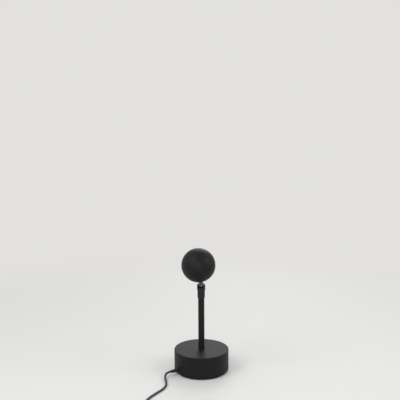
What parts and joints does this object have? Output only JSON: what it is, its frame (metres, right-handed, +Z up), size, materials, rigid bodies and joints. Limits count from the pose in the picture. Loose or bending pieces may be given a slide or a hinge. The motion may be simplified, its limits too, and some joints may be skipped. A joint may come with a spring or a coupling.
{
  "type": "sunset projection lamp",
  "caption": "Table projection lamp with a weighted drum base, thin stem, ball joint, ball-shaped head with a domed lens, and a USB lead with an in-line switch.",
  "frame": {"origin": "middle of the foot, on the table", "axes": "+Z up along the stem, +Y the way the beam leaves, +X to the right seen from behind the lamp"},
  "size_m": [0.1484, 0.2683, 0.2304],
  "materials": {
    "satin_black_paint": "satin black powder coat on cast and turned metal",
    "black_nickel": "dark nickel plate on turned brass",
    "bright_nickel": "bright nickel plate",
    "steel": "zinc-plated or bright steel",
    "brass": "turned brass",
    "grey_iron": "rough cast iron",
    "black_rubber": "matte moulded rubber",
    "circuit_board": "green solder mask",
    "bare_aluminium": "turned and sawn aluminium",
    "white_board": "white solder mask on aluminium",
    "phosphor": "yellow phosphor in silicone",
    "black_barrel": "matte black nylon",
    "nylon": "natural nylon",
    "clear_glass": "polished glass",
    "amber_glass": "interference-coated glass",
    "wire_jacket": "soft red insulation",
    "cord_jacket": "satin black jacket",
    "tie_strap": "black hook-and-loop strap",
    "black_abs": "fine spark-eroded black ABS",
    "button_abs": "smooth black ABS",
    "white_tongue": "white plastic"
  },
  "bodies": {
    "stand": {"base_shell": "satin_black_paint", "base_weight": "grey_iron", "bottom_plate": "steel", "bottom_plate_screws": "steel", "foot_pad": "black_rubber", "driver_board": "circuit_board", "driver_board_screws": "steel", "inner_lead": "cord_jacket", "strain_relief": "black_rubber", "stem": "satin_black_paint", "stem_washer": "steel", "stem_nut": "bright_nickel", "stem_leads": "wire_jacket", "swivel_bushing": "brass", "power_cord": "cord_jacket", "cord_coil": "cord_jacket", "cord_tie": "tie_strap", "switch_cord": "cord_jacket", "plug_cord": "cord_jacket", "switch_lower": "black_abs", "switch_upper": "black_abs", "switch_board": "circuit_board", "switch_screws": "steel", "plug_body": "black_abs", "plug_shell": "bright_nickel", "plug_tongue": "white_tongue"},
    "swivel": {"joint_cup": "black_nickel", "joint_collar": "black_nickel", "friction_pad": "nylon", "disc_spring": "steel"},
    "neck": {"ball_stud": "black_nickel", "neck_washer": "steel", "neck_nut": "bright_nickel"},
    "head": {"rear_shell": "satin_black_paint", "front_shell": "satin_black_paint", "lens_bezel": "black_nickel", "front_lens": "clear_glass", "lens_gasket": "black_rubber", "colour_filter": "amber_glass", "lens_barrel": "black_barrel", "condenser_lens": "clear_glass", "led_board": "white_board", "led_emitter": "phosphor", "led_board_screws": "steel", "heat_sink": "bare_aluminium", "head_leads": "wire_jacket"},
    "button": {"switch_button": "button_abs"}
  },
  "joints": [
    {"name": "collar_swivel", "type": "hinge", "parent": "stand", "child": "swivel", "pos_m": [0, 0, 0.1585], "axis": [0, 0, 1], "range_deg": [-165, 165]},
    {"name": "neck_tilt", "type": "hinge", "parent": "swivel", "child": "neck", "pos_m": [0, 0, 0.1585], "axis": [0.9707, -0.2402, 0], "range_deg": [-53.5, 64.5]},
    {"name": "head_turn", "type": "hinge", "parent": "neck", "child": "head", "pos_m": [-0.00475, -0.01918, 0.19993], "axis": [-0.1034, -0.4179, 0.9026], "range_deg": [-170, 170]},
    {"name": "button_press", "type": "slide", "parent": "stand", "child": "button", "axis": [0, 0, -1], "range_m": [0, 0.001], "stiffness_N_per_m": 800, "springref_m": -0.0008}
  ]
}
